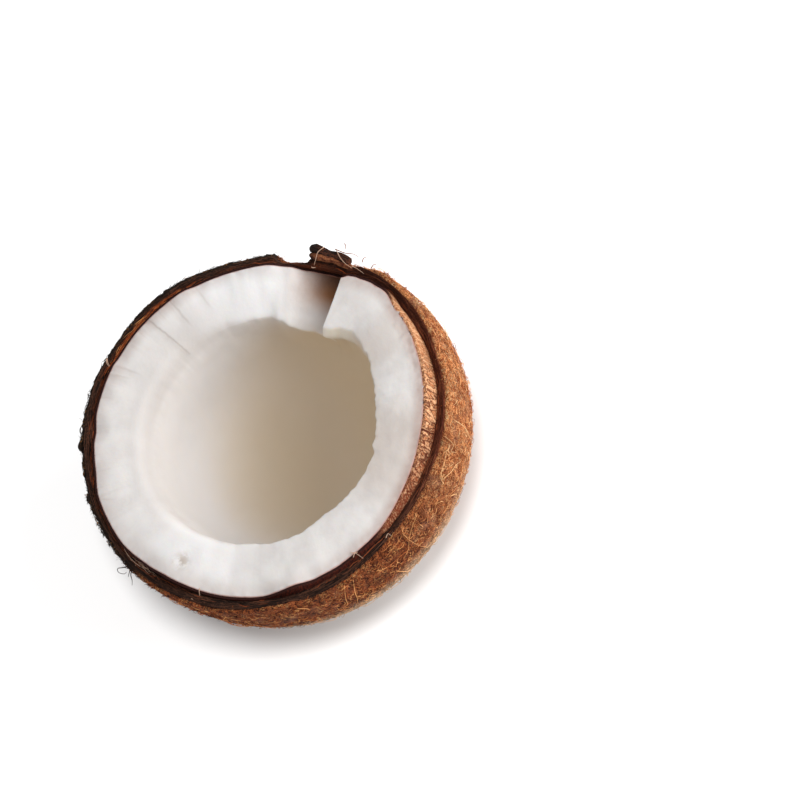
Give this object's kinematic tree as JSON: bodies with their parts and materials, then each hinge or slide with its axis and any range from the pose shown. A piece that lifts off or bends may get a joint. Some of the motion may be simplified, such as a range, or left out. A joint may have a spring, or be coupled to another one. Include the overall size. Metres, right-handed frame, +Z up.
{
  "type": "coconut half",
  "caption": "Half of a husked coconut with its broken face up: a fibrous brown shell, its brown inner skin and a thick white kernel round an open bowl-shaped hollow.",
  "frame": {"origin": "centre of the small flat rest spot under the round end", "axes": "+Z up, square to the broken face and out of the hollow; -Y towards the near side, where the shell is lowest to the eye; the torn splinters of the shell stand at about 18 to 36 degrees from +X towards +Y, and the body bulges most at -46 degrees"},
  "size_m": [0.1149, 0.1143, 0.0628],
  "materials": {
    "coir": "dry, matt, light-brown fibre coat with short curly hairs",
    "shell": "rough dark-brown to black broken shell edge",
    "testa": "thin red-brown wrinkled skin",
    "kernel": "moist, slightly translucent white flesh"
  },
  "bodies": {
    "root": {"coir_coat": "coir", "shell": "shell", "testa": "testa", "kernel": "kernel"}
  },
  "joints": []
}
